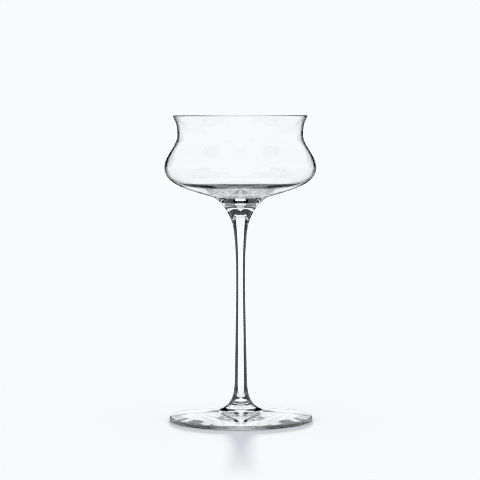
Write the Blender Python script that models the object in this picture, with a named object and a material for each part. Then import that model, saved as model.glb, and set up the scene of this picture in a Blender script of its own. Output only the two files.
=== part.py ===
"""Cocktail coupe in clear crystal: a thin blown bowl on a drawn stem and a disc foot.

The glass is worked hot from three gathers, which fuse where they meet. Each gather is an object of
its own, turned about the Z axis, and a thin gap stands for each fused seam. Lengths are in metres.
The origin is on the surface that the glass stands on, under the middle of the foot.
"""

from math import cos, pi, radians, sin

import bmesh
import bpy
from mathutils import Vector
from mathutils.geometry import interpolate_bezier

# Foot: a pressed disc that stands on a narrow ring
FOOT_DIAMETER = 0.0846
FOOT_EDGE_THICKNESS = 0.0024
FOOT_SEAT_HEIGHT = 0.0061
FOOT_CROWN_RISE = 0.0008
STANDING_RING_WIDTH = 0.0060
FOOT_HOLLOW_RISE = 0.0010

# Stem: drawn out between the flare on the foot and the flare under the bowl
STEM_LENGTH = 0.1233
STEM_BASE_DIAMETER = 0.0252
STEM_BASE_ANGLE = radians(20)
STEM_BASE_REACH = 0.0070
STEM_ANKLE_DIAMETER = 0.0075
STEM_ANKLE_HEIGHT = 0.0160
STEM_ANKLE_REACH = 0.0085
STEM_WAIST_DIAMETER = 0.0053
STEM_WAIST_DROP = 0.0460
STEM_WAIST_REACH = 0.0170
STEM_THROAT_DIAMETER = 0.0084
STEM_THROAT_DROP = 0.0165
STEM_THROAT_ANGLE = radians(82)
STEM_THROAT_REACH = 0.0062
STEM_HEAD_DIAMETER = 0.0262
STEM_HEAD_ANGLE = radians(43.5)
STEM_HEAD_REACH = 0.0068

# Bowl: a flared rim over a drawn-in neck, a full belly and a thick bottom
BOWL_RIM_HEIGHT = 0.0500
BOWL_RIM_DIAMETER = 0.0790
BOWL_RIM_WALL = 0.0010
BOWL_RIM_ANGLE = radians(68)
BOWL_RIM_REACH = 0.0040
BOWL_NECK_DROP = 0.0115
BOWL_NECK_DIAMETER = 0.0739
BOWL_NECK_WALL = 0.0010
BOWL_NECK_REACH = 0.0065
BOWL_BELLY_HEIGHT = 0.0196
BOWL_BELLY_DIAMETER = 0.0893
BOWL_BELLY_WALL = 0.0012
BOWL_BELLY_REACH = 0.0065
BOWL_TURN_REACH = 0.0098
BOWL_UNDERSIDE_REACH = 0.0125
BOWL_UNDERSIDE_DIAMETER = 0.0400
BOWL_UNDERSIDE_HEIGHT = 0.0031
BOWL_UNDERSIDE_ANGLE = radians(17)
BOWL_UNDERSIDE_EASE = 0.0038
BOWL_UNDERSIDE_WALL = 0.0010
BOWL_ROOT_REACH = 0.0040
BOWL_BUTTON_SAG = 0.0022
BOWL_BOTTOM_HEIGHT = 0.00345
BOWL_INNER_TURN_REACH = 0.0100
BOWL_INNER_UNDERSIDE_REACH = 0.0120
BOWL_INNER_EASE = 0.0075
BOWL_INNER_BOTTOM_REACH = 0.0140

# Seams and facets
SEAM_GAP = 0.0003
FACETS_ROUND = 48
SPAN_STEPS = 8
LIP_STEPS = 4
SEAT_STEPS = 4
MERGE_DISTANCE = 1e-6
SHARP_ANGLE = radians(35)

# Finish
CRYSTAL_COLOUR = (0.97, 0.985, 1.0, 1.0)
CRYSTAL_ROUGHNESS = 0.02
CRYSTAL_INDEX = 1.52


def toward(angle, length):
    """A step of this length, rising at this angle as it runs outwards from the axis."""
    return Vector((cos(angle), sin(angle))) * length


def span(start, leave, arrive, end, steps=SPAN_STEPS):
    """Points of a smooth curve between two stations, without the last. The steps leave and arrive,
    taken from the start and from the end, give its direction there and how long it keeps it."""
    return interpolate_bezier(start, start + leave, end + arrive, end, steps + 1)[:-1]


def arc(centre, radius, first, last, steps):
    """Points of a round edge, without the last."""
    angles = [first + (last - first) * step / steps for step in range(steps)]
    return [centre + toward(angle, radius) for angle in angles]


def seat(radius, rise):
    """Points from the axis, at this rise, out to the rim of a domed or dished seat, without the last."""
    flat = Vector((radius / 2, 0))
    easing = Vector((-radius / 3, rise / 3))
    return span(Vector((0, rise)), flat, easing, Vector((radius, 0)), SEAT_STEPS)


def foot_outline():
    """The foot, from the middle of its hollow underside out round the edge and in to the crown."""
    edge = FOOT_EDGE_THICKNESS / 2
    edge_centre = Vector((FOOT_DIAMETER / 2 - edge, edge))
    ring_inside = Vector((edge_centre.x - STANDING_RING_WIDTH, 0))
    seat_edge = Vector((STEM_BASE_DIAMETER / 2, FOOT_SEAT_HEIGHT))
    edge_top = edge_centre + Vector((0, edge))
    flank = (seat_edge - edge_top) / 3
    crown = [point + Vector((0, FOOT_SEAT_HEIGHT)) for point in seat(seat_edge.x, FOOT_CROWN_RISE)]
    return [
        *seat(ring_inside.x, FOOT_HOLLOW_RISE),
        ring_inside,
        *arc(edge_centre, edge, -pi / 2, pi / 2, 2 * LIP_STEPS),
        *span(edge_top, flank, -flank, seat_edge),
        seat_edge,
        *reversed(crown),
    ]


def stem_outline():
    """The stem, from the dish that sits on the foot's crown up to the dish under the bowl."""
    base = Vector((STEM_BASE_DIAMETER / 2, 0))
    ankle = Vector((STEM_ANKLE_DIAMETER / 2, STEM_ANKLE_HEIGHT))
    waist = Vector((STEM_WAIST_DIAMETER / 2, STEM_LENGTH - STEM_WAIST_DROP))
    throat = Vector((STEM_THROAT_DIAMETER / 2, STEM_LENGTH - STEM_THROAT_DROP))
    head = Vector((STEM_HEAD_DIAMETER / 2, STEM_LENGTH))
    up = Vector((0, 1))
    shin = (waist - ankle) / 3
    calf = Vector((0, (throat.y - waist.y) / 2))
    base_flare = toward(pi - STEM_BASE_ANGLE, STEM_BASE_REACH)
    ankle_ease = -shin.normalized() * STEM_ANKLE_REACH
    throat_ease = toward(STEM_THROAT_ANGLE, STEM_THROAT_REACH)
    head_flare = toward(STEM_HEAD_ANGLE, -STEM_HEAD_REACH)
    dish = [point + Vector((0, STEM_LENGTH)) for point in seat(head.x, -BOWL_BUTTON_SAG)]
    return [
        *seat(base.x, FOOT_CROWN_RISE),
        *span(base, base_flare, ankle_ease, ankle),
        *span(ankle, shin, -up * STEM_WAIST_REACH, waist),
        *span(waist, calf, -throat_ease, throat),
        *span(throat, throat_ease, head_flare, head),
        head,
        *reversed(dish),
    ]


def bowl_outline():
    """The bowl, from the button under it up the outside, over the lip and down the inside."""
    up = Vector((0, 1))
    seat_edge = Vector((STEM_HEAD_DIAMETER / 2, 0))
    underside = Vector((BOWL_UNDERSIDE_DIAMETER / 2, BOWL_UNDERSIDE_HEIGHT))
    belly = Vector((BOWL_BELLY_DIAMETER / 2, BOWL_BELLY_HEIGHT))
    neck = Vector((BOWL_NECK_DIAMETER / 2, BOWL_RIM_HEIGHT - BOWL_NECK_DROP))
    lip = BOWL_RIM_WALL / 2
    lip_centre = Vector((BOWL_RIM_DIAMETER / 2 - lip, BOWL_RIM_HEIGHT - lip))
    lip_start = BOWL_RIM_ANGLE - pi / 2
    rim = lip_centre + toward(lip_start, lip)
    inner_rim = lip_centre + toward(lip_start + pi, lip)
    inner_neck = neck - Vector((BOWL_NECK_WALL, 0))
    inner_belly = belly - Vector((BOWL_BELLY_WALL, 0))
    inner_underside = underside + toward(BOWL_UNDERSIDE_ANGLE + pi / 2, BOWL_UNDERSIDE_WALL)
    bottom = Vector((0, BOWL_BOTTOM_HEIGHT))
    flare = toward(BOWL_RIM_ANGLE, BOWL_RIM_REACH)
    root = toward(STEM_HEAD_ANGLE, BOWL_ROOT_REACH)
    ease = toward(BOWL_UNDERSIDE_ANGLE, -BOWL_UNDERSIDE_EASE)
    outward = toward(BOWL_UNDERSIDE_ANGLE, BOWL_UNDERSIDE_REACH)
    to_neck = up * BOWL_NECK_REACH
    to_belly = up * BOWL_BELLY_REACH
    inner_turn = -up * BOWL_INNER_TURN_REACH
    inner_outward = toward(BOWL_UNDERSIDE_ANGLE, BOWL_INNER_UNDERSIDE_REACH)
    inner_ease = toward(BOWL_UNDERSIDE_ANGLE, -BOWL_INNER_EASE)
    inner_floor = Vector((BOWL_INNER_BOTTOM_REACH, 0))
    return [
        *seat(seat_edge.x, -BOWL_BUTTON_SAG),
        *span(seat_edge, root, ease, underside),
        *span(underside, outward, -up * BOWL_TURN_REACH, belly),
        *span(belly, to_belly, -to_neck, neck),
        *span(neck, to_neck, -flare, rim),
        *arc(lip_centre, lip, lip_start, lip_start + pi, LIP_STEPS),
        *span(inner_rim, -flare, to_neck, inner_neck),
        *span(inner_neck, -to_neck, to_belly, inner_belly),
        *span(inner_belly, inner_turn, inner_outward, inner_underside),
        *span(inner_underside, inner_ease, inner_floor, bottom),
        bottom,
    ]


def crystal():
    """The clear, fire-polished crystal that all three gathers are made of."""
    material = bpy.data.materials.new("clear_crystal")
    material.use_nodes = True
    shader = material.node_tree.nodes["Principled BSDF"]
    shader.inputs["Base Color"].default_value = CRYSTAL_COLOUR
    shader.inputs["Metallic"].default_value = 0.0
    shader.inputs["Roughness"].default_value = CRYSTAL_ROUGHNESS
    shader.inputs["IOR"].default_value = CRYSTAL_INDEX
    shader.inputs["Transmission Weight"].default_value = 1.0
    return material


def turned(name, outline, material, height, parent):
    """One gather of glass: its outline turned about the axis, standing at this height."""
    shape = bmesh.new()
    points = [shape.verts.new((point.x, 0, point.y)) for point in outline]
    edges = [shape.edges.new(pair) for pair in zip(points, points[1:])]
    bmesh.ops.spin(
        shape,
        geom=points + edges,
        cent=(0, 0, 0),
        axis=(0, 0, 1),
        angle=2 * pi,
        steps=FACETS_ROUND,
        use_merge=True,
    )
    bmesh.ops.remove_doubles(shape, verts=shape.verts, dist=MERGE_DISTANCE)
    bmesh.ops.recalc_face_normals(shape, faces=shape.faces)
    mesh = bpy.data.meshes.new(name)
    shape.to_mesh(mesh)
    shape.free()
    mesh.shade_smooth()
    mesh.set_sharp_from_angle(angle=SHARP_ANGLE)
    mesh.materials.append(material)
    piece = bpy.data.objects.new(name, mesh)
    piece.location.z = height
    piece.parent = parent
    bpy.context.scene.collection.objects.link(piece)
    return piece


def main():
    """Clears the scene and stands the foot, the stem and the bowl on one another."""
    for left_over in list(bpy.data.objects):
        bpy.data.objects.remove(left_over)
    coupe = bpy.data.objects.new("coupe", None)
    bpy.context.scene.collection.objects.link(coupe)
    glass = crystal()
    stem_height = FOOT_SEAT_HEIGHT + SEAM_GAP
    bowl_height = stem_height + STEM_LENGTH + SEAM_GAP
    turned("foot", foot_outline(), glass, 0.0, coupe)
    turned("stem", stem_outline(), glass, stem_height, coupe)
    turned("bowl", bowl_outline(), glass, bowl_height, coupe)


main()
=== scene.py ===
"""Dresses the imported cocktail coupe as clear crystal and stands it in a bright-field glass studio.

The three gathers of glass are turned again at a fine pitch on the CAD's own lengths. They meet
along their fused seams, so that light runs through the coupe as through one piece of glass.
Lengths are in metres, in the CAD's frame: the glass stands on z = 0 with its axis on Z.
"""

import logging
from dataclasses import dataclass
from enum import Enum
from functools import reduce
from math import atan2, cos, pi, radians, sin

import bmesh
import bpy
from mathutils import Euler, Matrix, Vector
from mathutils.geometry import interpolate_bezier

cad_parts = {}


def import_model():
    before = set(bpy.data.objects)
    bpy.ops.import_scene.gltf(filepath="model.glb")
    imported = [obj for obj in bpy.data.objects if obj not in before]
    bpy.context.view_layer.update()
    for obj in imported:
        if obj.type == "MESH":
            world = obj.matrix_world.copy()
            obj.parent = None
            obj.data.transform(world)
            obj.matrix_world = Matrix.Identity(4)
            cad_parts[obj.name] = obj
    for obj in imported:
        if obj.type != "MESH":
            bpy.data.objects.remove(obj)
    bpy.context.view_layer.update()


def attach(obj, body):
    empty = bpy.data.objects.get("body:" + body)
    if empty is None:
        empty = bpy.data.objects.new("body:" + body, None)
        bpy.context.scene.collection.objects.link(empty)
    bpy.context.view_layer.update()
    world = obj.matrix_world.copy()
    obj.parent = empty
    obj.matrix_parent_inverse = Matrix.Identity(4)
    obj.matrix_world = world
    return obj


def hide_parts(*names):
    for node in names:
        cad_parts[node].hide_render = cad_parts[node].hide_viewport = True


LOG = logging.getLogger("coupe")
BODY = "root"
UP = Vector((0, 1))
MERGE_DISTANCE = 1e-7
CARDS = 4

# A limit between two whole numbers, for counts of bounces.
HALF = 0.5

# The open ends of a patch of sky or floor, a little past anything that can occur. Bearings run in
# degrees from straight behind the glass, and heights in degrees over the floor.
BEHIND, IN_FRONT = -1.0, 181.0
UNDERFOOT, OVERHEAD = -91.0, 91.0
AXIS, AFAR = -1.0, 100.0

Colour = tuple[float, float, float, float]
Range = tuple[float, float]
Outline = list[Vector]
Socket = bpy.types.NodeSocket
Sockets = bpy.types.bpy_prop_collection
Value = float | Colour | Socket


class Surface(Enum):
    """What a stretch of a gather's outline is. The value is its material slot."""

    POLISHED = 0
    FUSED = 1


class Run(Enum):
    """How light that the glass mirrors has run before it leaves the glass."""

    OUTSIDE = "mirrored on the outside"
    ONCE = "mirrored once within a wall"
    FEW = "mirrored a few times within a wall"
    OFTEN = "mirrored often within a wall"
    CROSSED = "mirrored, and through two walls or more"


def step(angle: float, length: float) -> Vector:
    """A step of this length that rises at this angle as it runs out from the axis."""
    return Vector((cos(angle), sin(angle))) * length


def third(start: Vector, end: Vector) -> Vector:
    """A third of the way between two stations, which makes a curve leave or arrive straight."""
    return (end - start) / 3


def span(start: Vector, leave: Vector, arrive: Vector, end: Vector, steps: int) -> Outline:
    """Draws a smooth curve between two stations of an outline.

    Args:
        start: The station it leaves.
        leave: The step from the start that gives its direction there.
        arrive: The step from the end that gives its direction there.
        end: The station it arrives at.
        steps: How many short chords make the curve.

    Returns:
        Its points, without the last.
    """
    return interpolate_bezier(start, start + leave, end + arrive, end, steps + 1)[:-1]


def arc(centre: Vector, radius: float, first: float, last: float, steps: int) -> Outline:
    """Draws a round edge.

    Args:
        centre: The middle of the arc.
        radius: Its radius.
        first: The angle it starts at.
        last: The angle it ends at.
        steps: How many short chords make the arc.

    Returns:
        Its points, without the last.
    """
    angles = [first + (last - first) * index / steps for index in range(steps)]
    return [centre + step(angle, radius) for angle in angles]


def seat(radius: float, rise: float, steps: int) -> Outline:
    """Draws a domed or dished seat from the axis out to its edge at height 0.

    Args:
        radius: The radius of the seat's edge.
        rise: How far its middle stands above the edge.
        steps: How many short chords make the seat.

    Returns:
        Its points, with the last.
    """
    middle = Vector((0, rise))
    edge = Vector((radius, 0))
    level = edge / 2
    return [*span(middle, level, third(edge, middle), edge, steps), edge]


def finished(name: str, shape: bmesh.types.BMesh) -> bpy.types.Object:
    """Makes a shape an object of the scene, at the origin.

    Args:
        name: The object's name.
        shape: Its shape, which is freed.

    Returns:
        The object.
    """
    mesh = bpy.data.meshes.new(name)
    shape.to_mesh(mesh)
    shape.free()
    made = bpy.data.objects.new(name, mesh)
    bpy.context.scene.collection.objects.link(made)
    return made


@dataclass
class Graph:
    """A node tree, with short ways to work out numbers and to mix shaders in it."""

    tree: bpy.types.NodeTree

    def put(self, value: Value, socket: Socket) -> None:
        """Sets an input to a constant, or links it to an output.

        Args:
            value: The number, the colour or the output.
            socket: The input.
        """
        if isinstance(value, bpy.types.NodeSocket):
            self.tree.links.new(value, socket)
        else:
            socket.default_value = value

    def feed(self, node: bpy.types.Node, values: dict[str | int, Value]) -> None:
        """Sets several inputs of a node.

        Args:
            node: The node.
            values: A constant or an output for each input, by the input's name or number.
        """
        for key, value in values.items():
            self.put(value, node.inputs[key])

    def add(self, kind: str, values: dict[str | int, Value] | None = None) -> bpy.types.Node:
        """Adds a node and sets its inputs.

        Args:
            kind: The kind of node, in Blender's own word.
            values: A constant or an output for each input, by the input's name or number.

        Returns:
            The node.
        """
        node = self.tree.nodes.new(kind)
        self.feed(node, values or {})
        return node

    def math(self, operation: str, first: Value, second: Value = 0.0) -> Socket:
        """Works out one number from two.

        Args:
            operation: What is done with them, in Blender's own word.
            first: The first number.
            second: The second number, where the operation takes one.

        Returns:
            The result.
        """
        node = self.add("ShaderNodeMath", {0: first, 1: second})
        node.operation = operation
        return node.outputs[0]

    def above(self, value: Value, limit: Value) -> Socket:
        """1 where the value is over the limit, or else 0."""
        return self.math("GREATER_THAN", value, limit)

    def below(self, value: Value, limit: Value) -> Socket:
        """1 where the value is under the limit, or else 0."""
        return self.math("LESS_THAN", value, limit)

    def between(self, value: Value, limits: Range) -> Socket:
        """1 where the value lies between the limits, or else 0."""
        return self.both(self.above(value, limits[0]), self.below(value, limits[1]))

    def at_least(self, count: Value, least: int) -> Socket:
        """1 where a count is this much or more, or else 0."""
        return self.above(count, least - HALF)

    def counted(self, count: Value, least: int, most: int) -> Socket:
        """1 where a count lies from the least to the most, or else 0."""
        return self.between(count, (least - HALF, most + HALF))

    def both(self, first: Value, second: Value) -> Socket:
        """The product of two masks or levels, 1 where both are 1."""
        return self.math("MULTIPLY", first, second)

    def either(self, first: Value, second: Value) -> Socket:
        """The higher of two masks or levels, 1 where either is 1."""
        return self.math("MAXIMUM", first, second)

    def any_of(self, *masks: Value) -> Socket:
        """1 where any of the masks is 1."""
        return reduce(self.either, masks)

    def outside(self, *masks: Value) -> Socket:
        """1 where all of the masks are 0."""
        return self.math("SUBTRACT", 1.0, self.any_of(*masks))

    # A Mix node keeps a pair of inputs for each type of data, so these go by number.

    def pick(self, mask: Value, off: Value, on: Value) -> Socket:
        """Takes one number where a mask is 0 and another where it is 1."""
        return self.add("ShaderNodeMix", {0: mask, 2: off, 3: on}).outputs[0]

    def blend(self, mask: Value, off: Value, on: Value) -> Socket:
        """Goes from one colour to another as a mask goes from 0 to 1.

        Args:
            mask: The mask.
            off: The colour where the mask is 0.
            on: The colour where the mask is 1.

        Returns:
            The colour.
        """
        node = self.add("ShaderNodeMix", {0: mask, 6: off, 7: on})
        node.data_type = "RGBA"
        return node.outputs[2]

    def mix(self, mask: Value, off: Socket, on: Socket) -> Socket:
        """Goes from one shader to another as a mask goes from 0 to 1."""
        return self.add("ShaderNodeMixShader", {0: mask, 1: off, 2: on}).outputs[0]

    def glow(self, colour: Colour, strength: Value) -> Socket:
        """A shader that gives off light of this colour and strength."""
        return self.add("ShaderNodeEmission", {"Color": colour, "Strength": strength}).outputs[0]

    def clear(self) -> Socket:
        """A shader that lets light by as if nothing were there."""
        return self.add("ShaderNodeBsdfTransparent").outputs[0]

    def path(self) -> Sockets:
        """What the light path node tells of the light that arrives."""
        return self.add("ShaderNodeLightPath").outputs

    def place(self) -> Socket:
        """The place on the object, in metres."""
        return self.add("ShaderNodeTexCoord").outputs["Object"]

    def parts(self, vector: Socket) -> Sockets:
        """The X, Y and Z of a place or a direction."""
        return self.add("ShaderNodeSeparateXYZ", {0: vector}).outputs

    def bearing(self, vector: Socket) -> Socket:
        """The angle of a place or a direction off straight behind the glass, to either side.

        Args:
            vector: The place or the direction.

        Returns:
            The angle, from 0 to a half turn.
        """
        parts = self.parts(vector)
        return self.math("ARCTAN2", self.math("ABSOLUTE", parts["X"]), parts["Y"])

    def length(self, vector: Socket) -> Socket:
        """The length of a vector.

        Args:
            vector: The vector.

        Returns:
            Its length.
        """
        node = self.add("ShaderNodeVectorMath", {0: vector})
        node.operation = "LENGTH"
        return node.outputs["Value"]

    def surface(self, shader: Socket) -> None:
        """Shows this shader on the material."""
        self.put(shader, self.tree.nodes["Material Output"].inputs["Surface"])


def folded(graph: Graph, angle: Socket) -> Socket:
    """The angle off the nearest card, where a bearing runs from straight behind the glass."""
    return graph.math("PINGPONG", angle, pi / CARDS)


def new_material(name: str) -> tuple[bpy.types.Material, Graph, bpy.types.Node]:
    """Starts a material.

    Args:
        name: The material's name.

    Returns:
        The material, its node tree and the principled shader in it.
    """
    made = bpy.data.materials.new(name)
    made.use_nodes = True
    return made, Graph(made.node_tree), made.node_tree.nodes["Principled BSDF"]


@dataclass(frozen=True)
class Crystal:
    """Clear, fire-polished crystal with the faint waves that blowing leaves in it."""

    name: str = "clear_crystal"
    colour: Colour = (1.0, 1.0, 1.0, 1.0)
    streak_colour: Colour = (0.994, 0.996, 0.999, 1.0)
    roughness: float = 0.0
    index: float = 1.52
    clarity: float = 1.0
    waves_per_metre: float = 45.0
    wave_detail: float = 1.0
    wave_height: float = 0.00002

    def material(self) -> bpy.types.Material:
        """Makes the crystal.

        Returns:
            The material.
        """
        made, graph, shader = new_material(self.name)
        scale = {"Scale": self.waves_per_metre, "Detail": self.wave_detail}
        waves = graph.add("ShaderNodeTexNoise", {"Vector": graph.place(), **scale}).outputs["Fac"]
        swell = graph.add("ShaderNodeBump", {"Distance": self.wave_height, "Height": waves})
        looks = {
            "Base Color": graph.blend(waves, self.colour, self.streak_colour),
            "Roughness": self.roughness,
            "IOR": self.index,
            "Transmission Weight": self.clarity,
            "Normal": swell.outputs["Normal"],
        }
        graph.feed(shader, looks)
        return made


@dataclass(frozen=True)
class FusedSeam:
    """The inside of a hot joint, where one gather runs on into the next and nothing shows."""

    name: str = "fused_seam"
    alpha: float = 0.0

    def material(self) -> bpy.types.Material:
        """Makes the seam.

        Returns:
            The material.
        """
        made, graph, shader = new_material(self.name)
        graph.feed(shader, {"Alpha": self.alpha})
        return made


@dataclass(frozen=True)
class Seam:
    """A hot joint between two gathers: a domed or dished disc about the axis.

    The slope is how steeply the outside of the glass runs past its edge.
    """

    diameter: float
    rise: float
    slope: float

    def outline(self, height: float, steps: int) -> Outline:
        """Draws the seam from the axis out.

        Args:
            height: Where its edge lies.
            steps: How many short chords make it.

        Returns:
            Its points, with the last.
        """
        return [point + UP * height for point in seat(self.diameter / 2, self.rise, steps)]


FOOT_SEAM = Seam(diameter=0.0252, rise=0.0008, slope=radians(20))
BOWL_SEAM = Seam(diameter=0.0262, rise=-0.0022, slope=radians(43.5))


@dataclass
class Gather:
    """A gather of hot glass, turned about the axis from an outline in stretches."""

    name: str
    facets: int = 192
    steps: int = 20

    def stretches(self) -> list[tuple[Surface, Outline]]:
        """The gather's outline, from the axis and back to it, stretch by stretch."""
        raise NotImplementedError

    def build(self, height: float) -> bpy.types.Object:
        """Turns the outline into the gather's mesh.

        Args:
            height: Where the outline's height 0 stands.

        Returns:
            The piece, linked to the scene.
        """
        shape = bmesh.new()
        for surface, outline in self.stretches():
            done = set(shape.faces)
            points = [shape.verts.new((point.x, 0, point.y + height)) for point in outline]
            edges = [shape.edges.new(pair) for pair in zip(points, points[1:])]
            bmesh.ops.spin(
                shape,
                geom=points + edges,
                cent=(0, 0, 0),
                axis=(0, 0, 1),
                angle=2 * pi,
                steps=self.facets,
                use_merge=True,
            )
            for face in set(shape.faces) - done:
                face.material_index = surface.value
        bmesh.ops.remove_doubles(shape, verts=shape.verts, dist=MERGE_DISTANCE)
        bmesh.ops.recalc_face_normals(shape, faces=shape.faces)
        for edge in shape.edges:
            kinds = {face.material_index for face in edge.link_faces}
            edge.smooth = len(kinds) == 1
        for face in shape.faces:
            face.smooth = True
        return finished(self.name, shape)

    def dress(self, piece: bpy.types.Object, finishes: list[bpy.types.Material], node: str) -> None:
        """Gives the piece its finishes and puts it in the place of its CAD node.

        Args:
            piece: The gather's piece.
            finishes: The polished glass and the fused seam, in the order of Surface.
            node: The CAD node that the piece stands for.
        """
        for finish in finishes:
            piece.data.materials.append(finish)
        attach(piece, BODY)
        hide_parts(node)


@dataclass
class Foot(Gather):
    """The pressed disc that the glass stands on."""

    name: str = "crystal_foot"
    diameter: float = 0.0846
    edge_thickness: float = 0.0024
    seat_height: float = 0.00625
    crown: Seam = FOOT_SEAM
    ring_width: float = 0.0060
    hollow_rise: float = 0.0010

    def stretches(self) -> list[tuple[Surface, Outline]]:
        """Draws the underside and the top up to the stem, then the crown that the stem is fused to.

        Returns:
            The stretches, from the axis and back to it.
        """
        edge = self.edge_thickness / 2
        edge_centre = Vector((self.diameter / 2 - edge, edge))
        edge_top = edge_centre + UP * edge
        ring_inside = edge_centre.x - self.ring_width
        crown = self.crown.outline(self.seat_height, self.steps)
        seat_edge = crown[-1]
        flank = third(edge_top, seat_edge)
        outside = [
            *seat(ring_inside, self.hollow_rise, self.steps),
            *arc(edge_centre, edge, -pi / 2, pi / 2, self.steps),
            *span(edge_top, flank, -flank, seat_edge, self.steps),
            seat_edge,
        ]
        return [(Surface.POLISHED, outside), (Surface.FUSED, crown[::-1])]


@dataclass
class Stem(Gather):
    """The gather that is drawn out between the foot and the bowl."""

    name: str = "crystal_stem"
    length: float = 0.1236
    base: Seam = FOOT_SEAM
    base_reach: float = 0.0070
    ankle_diameter: float = 0.0075
    ankle_height: float = 0.0160
    ankle_reach: float = 0.0085
    waist_diameter: float = 0.0053
    waist_drop: float = 0.0460
    waist_reach: float = 0.0170
    throat_diameter: float = 0.0084
    throat_drop: float = 0.0165
    throat_angle: float = radians(82)
    throat_reach: float = 0.0062
    head: Seam = BOWL_SEAM
    head_reach: float = 0.0068

    def stretches(self) -> list[tuple[Surface, Outline]]:
        """Draws the dish on the foot's crown, the drawn shank and the dish under the bowl.

        Returns:
            The stretches, from the axis and back to it.
        """
        foot_dish = self.base.outline(0.0, self.steps)
        bowl_dish = self.head.outline(self.length, self.steps)
        base = foot_dish[-1]
        ankle = Vector((self.ankle_diameter / 2, self.ankle_height))
        waist = Vector((self.waist_diameter / 2, self.length - self.waist_drop))
        throat = Vector((self.throat_diameter / 2, self.length - self.throat_drop))
        head = bowl_dish[-1]
        shin = third(ankle, waist)
        calf = UP * (throat.y - waist.y) / 2
        base_flare = step(pi - self.base.slope, self.base_reach)
        ankle_ease = -shin.normalized() * self.ankle_reach
        throat_ease = step(self.throat_angle, self.throat_reach)
        head_flare = step(self.head.slope, -self.head_reach)
        shank = [
            *span(base, base_flare, ankle_ease, ankle, self.steps),
            *span(ankle, shin, -UP * self.waist_reach, waist, self.steps),
            *span(waist, calf, -throat_ease, throat, self.steps),
            *span(throat, throat_ease, head_flare, head, self.steps),
            head,
        ]
        return [
            (Surface.FUSED, foot_dish),
            (Surface.POLISHED, shank),
            (Surface.FUSED, bowl_dish[::-1]),
        ]


@dataclass
class Bowl(Gather):
    """The blown bowl: a flared rim, a drawn-in neck, a full belly and a thick bottom."""

    name: str = "crystal_bowl"
    button: Seam = BOWL_SEAM
    root_reach: float = 0.0040
    rim_height: float = 0.05015
    rim_diameter: float = 0.0790
    rim_wall: float = 0.0010
    rim_angle: float = radians(68)
    rim_reach: float = 0.0040
    neck_drop: float = 0.0115
    neck_diameter: float = 0.0739
    neck_wall: float = 0.0010
    neck_reach: float = 0.0065
    belly_height: float = 0.01975
    belly_diameter: float = 0.0893
    belly_wall: float = 0.0012
    belly_reach: float = 0.0065
    turn_reach: float = 0.0098
    underside_diameter: float = 0.0400
    underside_height: float = 0.00325
    underside_angle: float = radians(17)
    underside_ease: float = 0.0038
    underside_reach: float = 0.0125
    underside_wall: float = 0.0010
    bottom_height: float = 0.0036
    inner_turn_reach: float = 0.0100
    inner_underside_reach: float = 0.0120
    inner_ease: float = 0.0075
    inner_bottom_reach: float = 0.0140

    def outside(self, seat_edge: Vector, neck: Vector, belly: Vector, underside: Vector) -> Outline:
        """Draws the outside from the stem up to the lip.

        Args:
            seat_edge: The edge of the button.
            neck: The narrowest station, on the outside.
            belly: The widest station, on the outside.
            underside: The station under the belly, on the outside.

        Returns:
            Its points, without the last.
        """
        along = step(self.underside_angle, 1)
        root = step(self.button.slope, self.root_reach)
        to_neck = UP * self.neck_reach
        rim = self.lip_centre() + step(self.lip_start(), self.rim_wall / 2)
        flare = step(self.rim_angle, self.rim_reach)
        return [
            *span(seat_edge, root, -along * self.underside_ease, underside, self.steps),
            *span(underside, along * self.underside_reach, -UP * self.turn_reach, belly, self.steps),
            *span(belly, UP * self.belly_reach, -to_neck, neck, self.steps),
            *span(neck, to_neck, -flare, rim, self.steps),
        ]

    def inside(self, neck: Vector, belly: Vector, underside: Vector) -> Outline:
        """Draws the inside from the lip down to the middle of the bottom.

        Args:
            neck: The narrowest station, on the outside.
            belly: The widest station, on the outside.
            underside: The station under the belly, on the outside.

        Returns:
            Its points, with the last.
        """
        along = step(self.underside_angle, 1)
        to_neck = UP * self.neck_reach
        rim = self.lip_centre() - step(self.lip_start(), self.rim_wall / 2)
        flare = step(self.rim_angle, self.rim_reach)
        inner_neck = neck - Vector((self.neck_wall, 0))
        inner_belly = belly - Vector((self.belly_wall, 0))
        inner_underside = underside + step(self.underside_angle + pi / 2, self.underside_wall)
        to_underside = along * self.inner_underside_reach
        bottom = Vector((0, self.bottom_height))
        level = Vector((self.inner_bottom_reach, 0))
        return [
            *span(rim, -flare, to_neck, inner_neck, self.steps),
            *span(inner_neck, -to_neck, UP * self.belly_reach, inner_belly, self.steps),
            *span(inner_belly, -UP * self.inner_turn_reach, to_underside, inner_underside, self.steps),
            *span(inner_underside, -along * self.inner_ease, level, bottom, self.steps),
            bottom,
        ]

    def lip_centre(self) -> Vector:
        """The middle of the round lip."""
        return Vector((self.rim_diameter - self.rim_wall, 2 * self.rim_height - self.rim_wall)) / 2

    def lip_start(self) -> float:
        """The angle at which the outside runs into the lip."""
        return self.rim_angle - pi / 2

    def stretches(self) -> list[tuple[Surface, Outline]]:
        """Draws the button that the stem is fused to, then the outside, the lip and the inside.

        Returns:
            The stretches, from the axis and back to it.
        """
        button = self.button.outline(0.0, self.steps)
        neck = Vector((self.neck_diameter / 2, self.rim_height - self.neck_drop))
        belly = Vector((self.belly_diameter / 2, self.belly_height))
        underside = Vector((self.underside_diameter / 2, self.underside_height))
        start = self.lip_start()
        glass = [
            *self.outside(button[-1], neck, belly, underside),
            *arc(self.lip_centre(), self.rim_wall / 2, start, start + pi, self.steps // 2),
            *self.inside(neck, belly, underside),
        ]
        return [(Surface.FUSED, button), (Surface.POLISHED, glass)]


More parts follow.
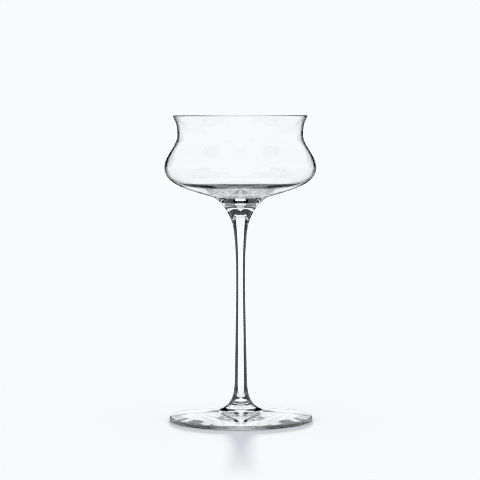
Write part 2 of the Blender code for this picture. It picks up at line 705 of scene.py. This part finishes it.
@dataclass(frozen=True)
class SkyPatch:
    """A patch of sky, in degrees off straight behind the glass and in degrees over the floor."""

    bearing: Range = (BEHIND, IN_FRONT)
    height: Range = (UNDERFOOT, OVERHEAD)

    def mask(self, graph: Graph, angle: Socket, high: Socket) -> Socket:
        """1 on the patch, or else 0.

        Args:
            graph: The node tree.
            angle: How far the direction lies from straight behind the glass.
            high: How far it rises over the floor.

        Returns:
            The mask.
        """
        across = graph.between(angle, tuple(map(radians, self.bearing)))
        return graph.both(across, graph.between(high, tuple(map(radians, self.height))))


@dataclass(frozen=True)
class FloorPatch:
    """A patch of floor, in degrees off straight behind the glass and in metres from the axis."""

    bearing: Range = (BEHIND, IN_FRONT)
    distance: Range = (AXIS, AFAR)

    def mask(self, graph: Graph, angle: Socket, radius: Socket) -> Socket:
        """1 on the patch, or else 0.

        Args:
            graph: The node tree.
            angle: How far the place lies from straight behind the glass.
            radius: How far it lies from the axis.

        Returns:
            The mask.
        """
        across = graph.between(angle, tuple(map(radians, self.bearing)))
        return graph.both(across, graph.between(radius, self.distance))


@dataclass(frozen=True)
class Sky:
    """The flags and windows over the floor, for each way that mirrored light may have run."""

    # Flags for light mirrored on the outside.
    low_flag: SkyPatch = SkyPatch((6, 36), (UNDERFOOT, 12))
    tall_flag: SkyPatch = SkyPatch((6, 22))
    # Flags for light mirrored once within a wall.
    skirting: SkyPatch = SkyPatch((BEHIND, 50), (UNDERFOOT, 4))
    hedge: SkyPatch = SkyPatch((9, 50), (UNDERFOOT, 16))
    ridge: SkyPatch = SkyPatch((20, IN_FRONT), (60, OVERHEAD))
    eaves: SkyPatch = SkyPatch((20, 130), (45, OVERHEAD))
    # Windows for light mirrored a few times.
    back_slit: SkyPatch = SkyPatch((BEHIND, 5))
    front_slit: SkyPatch = SkyPatch((155, IN_FRONT))
    window: SkyPatch = SkyPatch((BEHIND, 20), (15, OVERHEAD))
    # Windows for light mirrored often.
    back_strip: SkyPatch = SkyPatch((BEHIND, 10))
    wings: SkyPatch = SkyPatch((BEHIND, 115), (UNDERFOOT, 20))
    pane: SkyPatch = SkyPatch((BEHIND, 20), (UNDERFOOT, 30))
    # Flags for mirrored light that has come through two walls.
    upper_side: SkyPatch = SkyPatch((70, 155), (42, 62))
    lower_side: SkyPatch = SkyPatch((97, 130), (16, 62))
    back_flag: SkyPatch = SkyPatch((BEHIND, 12), (3, 45))

    def levels(self, graph: Graph, angle: Socket, high: Socket) -> dict[Run, Socket]:
        """Works out what the mirrored light finds above the floor.

        Args:
            graph: The node tree.
            angle: How far the direction lies from straight behind the glass.
            high: How far it rises over the floor.

        Returns:
            A level for each way the light may have run.
        """

        def on(*patches: SkyPatch) -> list[Socket]:
            """The masks of these patches."""
            return [patch.mask(graph, angle, high) for patch in patches]

        return {
            Run.OUTSIDE: graph.outside(*on(self.low_flag, self.tall_flag)),
            Run.ONCE: graph.outside(*on(self.skirting, self.hedge, self.ridge, self.eaves)),
            Run.FEW: graph.any_of(*on(self.back_slit, self.front_slit, self.window)),
            Run.OFTEN: graph.any_of(*on(self.back_strip, self.wings, self.pane)),
            Run.CROSSED: graph.outside(*on(self.upper_side, self.lower_side, self.back_flag)),
        }


@dataclass(frozen=True)
class Ground:
    """Painted light and shade on the floor, which glows only for light in the glass: dark and bright
    stretches for each way that light may have run.
    """

    # For light mirrored on the outside: a dark stretch with a gap in it, painted shade under the foot, and
    # dimmer sides.
    flag: FloorPatch = FloorPatch((BEHIND, 40), (0.10, AFAR))
    flag_gap: FloorPatch = FloorPatch((BEHIND, 22), (0.10, 0.45))
    shade_under_foot: FloorPatch = FloorPatch((50, IN_FRONT), (AXIS, 0.045))
    beside: FloorPatch = FloorPatch((40, 113), (0.15, AFAR))
    beside_level: float = 0.5
    # For light mirrored once within a wall: dark stretches round a bright core, among them painted shade
    # under the foot.
    core: FloorPatch = FloorPatch((BEHIND, 12), (AXIS, 0.02))
    disc: FloorPatch = FloorPatch(distance=(AXIS, 0.05))
    strip: FloorPatch = FloorPatch((BEHIND, 10), (0.12, 0.30))
    blade: FloorPatch = FloorPatch((10, 35), (0.10, 0.90))
    blade_tip: FloorPatch = FloorPatch((10, 35), (0.90, AFAR))
    blade_tip_level: float = 0.3
    # For light mirrored a few times: dark stretches.
    hub: FloorPatch = FloorPatch((BEHIND, 10), (AXIS, 0.015))
    collar: FloorPatch = FloorPatch((BEHIND, 10), (0.034, 0.10))
    flank: FloorPatch = FloorPatch((10, 35), (AXIS, 0.10))
    away: FloorPatch = FloorPatch((8, 40), (0.30, AFAR))
    front: FloorPatch = FloorPatch((85, IN_FRONT))
    # For light mirrored often: bright spokes with a dim hem of painted shade round the foot's edge, and a
    # bright far side.
    spokes: FloorPatch = FloorPatch((BEHIND, 35), (AXIS, 0.075))
    hem: FloorPatch = FloorPatch(distance=(0.035, 0.060))
    hem_level: float = 0.05
    far_side: FloorPatch = FloorPatch((35, 90), (0.50, AFAR))
    # For mirrored light that has come through two walls: a dim stretch.
    far_back: FloorPatch = FloorPatch((BEHIND, 10), (0.40, AFAR))
    far_back_level: float = 0.3
    # For light that is only bent: bright sectors towards the cards, and a painted shadow ring on the floor
    # under the foot's edge.
    sector: float = radians(21)
    near_sector: float = radians(18)
    near: float = 0.10
    painted_rim_shadow: FloorPatch = FloorPatch(distance=(0.041, 0.0455))
    around: FloorPatch = FloorPatch(distance=(0.0455, 1.05))

    def levels(self, graph: Graph, angle: Socket, radius: Socket) -> dict[Run, Socket]:
        """Works out what the mirrored light finds on the floor.

        Args:
            graph: The node tree.
            angle: How far the place lies from straight behind the glass.
            radius: How far it lies from the axis.

        Returns:
            A level for each way the light may have run.
        """

        def on(*patches: FloorPatch) -> list[Socket]:
            """The masks of these patches."""
            return [patch.mask(graph, angle, radius) for patch in patches]

        beside, tip, hem, far_back = on(self.beside, self.blade_tip, self.hem, self.far_back)
        flag, flag_gap, shade_under_foot = on(self.flag, self.flag_gap, self.shade_under_foot)
        dark_outside = graph.either(graph.both(flag, graph.outside(flag_gap)), shade_under_foot)
        skim = graph.pick(beside, 1.0, self.beside_level)
        round_blade = graph.outside(*on(self.disc, self.strip, self.blade))
        once = graph.both(round_blade, graph.pick(tip, 1.0, self.blade_tip_level))
        spokes = self.spokes.mask(graph, folded(graph, angle), radius)
        hemmed = graph.both(spokes, graph.pick(hem, 1.0, self.hem_level))
        return {
            Run.OUTSIDE: graph.both(skim, graph.outside(dark_outside)),
            Run.ONCE: graph.either(once, *on(self.core)),
            Run.FEW: graph.outside(*on(self.hub, self.collar, self.flank, self.away, self.front)),
            Run.OFTEN: graph.either(hemmed, *on(self.far_side)),
            Run.CROSSED: graph.pick(far_back, 1.0, self.far_back_level),
        }

    def through(self, graph: Graph, angle: Socket, radius: Socket, crossed: Socket, clear: Socket) -> Socket:
        """Works out what the light that the glass has only bent finds on the floor.

        Args:
            graph: The node tree.
            angle: How far the place lies from straight behind the glass.
            radius: How far it lies from the axis.
            crossed: 1 where the light has come through two walls or more.
            clear: How many fused seams and clear sheets it has passed.

        Returns:
            The level.
        """
        width = graph.pick(graph.above(radius, self.near), self.near_sector, self.sector)
        sector = graph.below(folded(graph, angle), width)
        on_painted_rim_shadow = self.painted_rim_shadow.mask(graph, angle, radius)
        around = graph.both(crossed, self.around.mask(graph, angle, radius))
        direct = graph.outside(crossed, graph.at_least(clear, 1))
        under = graph.both(direct, graph.below(radius, self.painted_rim_shadow.distance[0]))
        bright = graph.any_of(sector, around, under)
        # Off the sectors, the floor under the foot's edge is dark: a painted shadow of the rim.
        return graph.both(bright, graph.outside(graph.both(on_painted_rim_shadow, graph.outside(sector))))


@dataclass
class Studio:
    """A pale sweep with bright cards behind and beside the glass and dark gaps between them."""

    pale: Colour = (0.947, 0.956, 0.973, 1.0)
    level: float = 1.013
    cool: Colour = (0.991, 1.0, 1.042, 1.0)
    shadow: float = 0.3
    back_share: float = 0.32
    back_elevation: float = radians(8.5)
    back_spread: float = radians(6)
    warm: tuple[float, float, float] = (1.017, 1.0, 0.916)
    floor_radius: float = 6.0
    floor_facets: int = 64
    floor_drop: float = 0.0001
    fade_from: float = 0.145
    fade_to: float = 0.21
    card_distance: float = 0.30
    card_half_width: float = 0.125
    card_height: float = 2.50
    card_strip: Range = (0.050, 0.112)
    sheets: int = 6
    sheet_height: float = 0.1804
    sheet_gap: float = 0.0002
    sheet_radius: float = 0.0445
    sheet_facets: int = 96
    wall_faces: int = 2
    few_turns: int = 4
    sky: Sky = Sky()
    ground: Ground = Ground()

    def crossed(self, graph: Graph, path: Sockets) -> Socket:
        """1 where the light has come through two walls or more."""
        return graph.at_least(path["Transmission Depth"], 2 * self.wall_faces)

    def mirrored(self, graph: Graph, path: Sockets, levels: dict[Run, Socket]) -> Socket:
        """Takes the level that goes with the way the light has run.

        Args:
            graph: The node tree.
            path: The outputs of its light path node.
            levels: A level for each way.

        Returns:
            The level, 0 for light that the glass has not mirrored.
        """
        turns, faces = path["Glossy Depth"], path["Transmission Depth"]
        turned = graph.at_least(turns, 1)
        within = graph.counted(faces, 1, self.wall_faces)
        runs = {
            Run.OUTSIDE: graph.both(turned, graph.outside(graph.at_least(faces, 1))),
            Run.ONCE: graph.both(graph.counted(turns, 1, 1), within),
            Run.FEW: graph.both(graph.counted(turns, 2, self.few_turns), within),
            Run.OFTEN: graph.both(graph.at_least(turns, self.few_turns + 1), within),
            Run.CROSSED: graph.both(turned, self.crossed(graph, path)),
        }
        lights = [graph.both(mask, levels[run]) for run, mask in runs.items()]
        return graph.any_of(*lights)

    def world(self) -> None:
        """Lights the floor evenly and gives the glass its dark surroundings."""
        world = bpy.data.worlds.new("studio")
        bpy.context.scene.world = world
        world.use_nodes = True
        graph = Graph(world.node_tree)
        path = graph.path()
        direction = graph.add("ShaderNodeTexCoord").outputs["Generated"]
        high = graph.math("ARCSINE", graph.parts(direction)["Z"])
        glass = self.mirrored(graph, path, self.sky.levels(graph, graph.bearing(direction), high))
        share = self.level - self.back_share
        floor = graph.pick(path["Is Transmission Ray"], share, share * self.shadow)
        bounced = graph.at_least(path["Diffuse Depth"], 1)
        level = graph.pick(bounced, glass, floor)
        light = {
            "Strength": graph.either(level, path["Is Camera Ray"]),
            "Color": graph.blend(bounced, self.pale, self.cool),
        }
        graph.feed(world.node_tree.nodes["Background"], light)

    def floor_finish(self) -> bpy.types.Material:
        """Makes the floor's pale paint, which glows for the glass, though it is no lamp, with the painted
        light and shade that the ground lays out.

        Returns:
            The material.
        """
        made, graph, paint = new_material("pale_floor")
        graph.feed(paint, {"Base Color": self.pale, "Specular IOR Level": 0.0, "Roughness": 1.0})
        path, place = graph.path(), graph.place()
        radius, angle = graph.length(place), graph.bearing(place)
        clear_faces = path["Transparent Depth"]
        bent = self.ground.through(graph, angle, radius, self.crossed(graph, path), clear_faces)
        poured = graph.at_least(clear_faces, self.sheets)
        mirrored = self.mirrored(graph, path, self.ground.levels(graph, angle, radius))
        turned = graph.at_least(path["Glossy Depth"], 1)
        # Light in the glass finds the floor glowing, though it is no lamp: painted light, dark where the
        # ground paints shade, and fully bright for light that came in over the mouth.
        glow = graph.glow(self.pale, graph.pick(turned, graph.either(poured, bent), mirrored))
        # Away from the glass the floor stops taking light and glows evenly pale instead, so its real shadow
        # fades out between these radii.
        fade = graph.add("ShaderNodeMapRange", {"Value": radius})
        fade.interpolation_type = "SMOOTHSTEP"
        graph.feed(fade, {"From Min": self.fade_from, "From Max": self.fade_to})
        lit_fading_to_glow = graph.mix(fade.outputs["Result"], paint.outputs[0], graph.glow(self.pale, 1.0))
        real = graph.either(path["Is Camera Ray"], graph.at_least(path["Diffuse Depth"], 1))
        graph.surface(graph.mix(real, glow, lit_fading_to_glow))
        return made

    def floor(self) -> None:
        """Lays the pale floor."""
        shape = bmesh.new()
        bmesh.ops.create_circle(shape, cap_ends=True, radius=self.floor_radius, segments=self.floor_facets)
        bmesh.ops.translate(shape, vec=(0, 0, -self.floor_drop), verts=shape.verts)
        piece = finished("floor", shape)
        piece.data.materials.append(self.floor_finish())

    def card_finish(self) -> bpy.types.Material:
        """Makes the cards' glow, with a dark strip for light that has come through two walls.

        Returns:
            The material.
        """
        made, graph, _ = new_material("bright_card")
        path = graph.path()
        strip = graph.between(graph.parts(graph.place())["Z"], self.card_strip)
        strength = graph.outside(graph.both(strip, self.crossed(graph, path)))
        turned = graph.at_least(path["Glossy Depth"], 1)
        graph.surface(graph.mix(turned, graph.glow(self.pale, strength), graph.clear()))
        return made

    def cards(self) -> None:
        """Stands the bright cards round the glass, where only light that it has bent finds them."""
        finish = self.card_finish()
        size = Matrix.Diagonal((self.card_half_width, self.card_height / 2, 1, 1))
        upright = Matrix.Rotation(pi / 2, 4, "X")
        place = Matrix.Translation((0, self.card_distance, self.card_height / 2))
        for index in range(CARDS):
            shape = bmesh.new()
            bmesh.ops.create_grid(shape, x_segments=1, y_segments=1, size=1)
            turn = Matrix.Rotation(index * 2 * pi / CARDS, 4, "Z")
            bmesh.ops.transform(shape, matrix=turn @ place @ upright @ size, verts=shape.verts)
            card = finished(f"card_{index + 1}", shape)
            card.data.materials.append(finish)
            card.visible_camera = False
            card.visible_diffuse = False
            card.visible_shadow = False
            card.visible_glossy = False

    def lid(self) -> None:
        """Lays clear sheets over the mouth, which count the light that comes in there."""
        made, graph, _ = new_material("clear_sheet")
        graph.surface(graph.clear())
        shape = bmesh.new()
        for index in range(self.sheets):
            size = {"radius": self.sheet_radius, "segments": self.sheet_facets}
            disc = bmesh.ops.create_circle(shape, cap_ends=True, **size)
            height = self.sheet_height + index * self.sheet_gap
            bmesh.ops.translate(shape, vec=(0, 0, height), verts=disc["verts"])
        piece = finished("lid", shape)
        piece.data.materials.append(made)
        piece.visible_diffuse = False
        piece.visible_glossy = False
        piece.visible_transmission = False
        piece.visible_shadow = False

    def back_light(self) -> None:
        """Hangs the low, broad light behind the glass that lays its soft shadow on the floor."""
        data = bpy.data.lights.new("back_light", "SUN")
        data.energy = self.back_share * pi / sin(self.back_elevation)
        data.angle = self.back_spread
        data.color = self.warm
        lamp = bpy.data.objects.new("back_light", data)
        lamp.rotation_euler = Euler((self.back_elevation - pi / 2, 0, 0))
        lamp.visible_glossy = False
        lamp.visible_transmission = False
        bpy.context.scene.collection.objects.link(lamp)


@dataclass
class Viewpoint:
    """Where the camera stands, how it looks and how far it follows the light."""

    distance: float = 1.206
    height: float = 0.180
    aim_height: float = 0.1066
    lens: float = 153.8
    sensor: float = 36.0
    roll: float = radians(-0.15)
    shift: float = -0.00105
    pixel_blur: float = 0.9
    bounces: int = 128
    faces: int = 64
    clear_faces: int = 32

    def place(self) -> None:
        """Sets up the camera."""
        data = bpy.data.cameras.new("camera")
        data.lens = self.lens
        data.sensor_width = self.sensor
        data.shift_x = self.shift
        camera = bpy.data.objects.new("camera", data)
        camera.location = (0, -self.distance, self.height)
        drop = atan2(self.height - self.aim_height, self.distance)
        pose = Matrix.Rotation(pi / 2 - drop, 3, "X") @ Matrix.Rotation(self.roll, 3, "Z")
        camera.rotation_euler = pose.to_euler()
        bpy.context.scene.collection.objects.link(camera)
        bpy.context.scene.camera = camera

    def follow(self) -> None:
        """Follows the light through the many faces of the glass, and shows its colours plainly."""
        cycles = bpy.context.scene.cycles
        cycles.filter_width = self.pixel_blur
        cycles.max_bounces = self.bounces
        cycles.transmission_bounces = self.faces
        cycles.glossy_bounces = self.bounces
        cycles.transparent_max_bounces = self.clear_faces
        bpy.context.scene.view_settings.view_transform = "Standard"


def main() -> None:
    """Builds the coupe and its studio, and reports each piece."""
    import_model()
    logging.basicConfig(level=logging.INFO, format="%(message)s")
    finishes = [Crystal().material(), FusedSeam().material()]
    foot, stem, bowl = Foot(), Stem(), Bowl()
    stem_height = foot.seat_height
    bowl_height = stem_height + stem.length
    stack = [(foot, 0.0, "foot"), (stem, stem_height, "stem"), (bowl, bowl_height, "bowl")]
    for gather, height, node in stack:
        piece = gather.build(height)
        gather.dress(piece, finishes, node)
        LOG.info("%s stands for %s, with %d faces", piece.name, node, len(piece.data.polygons))
    studio = Studio()
    studio.world()
    studio.floor()
    studio.cards()
    studio.lid()
    studio.back_light()
    viewpoint = Viewpoint()
    viewpoint.place()
    viewpoint.follow()


if __name__ == "__main__":
    main()
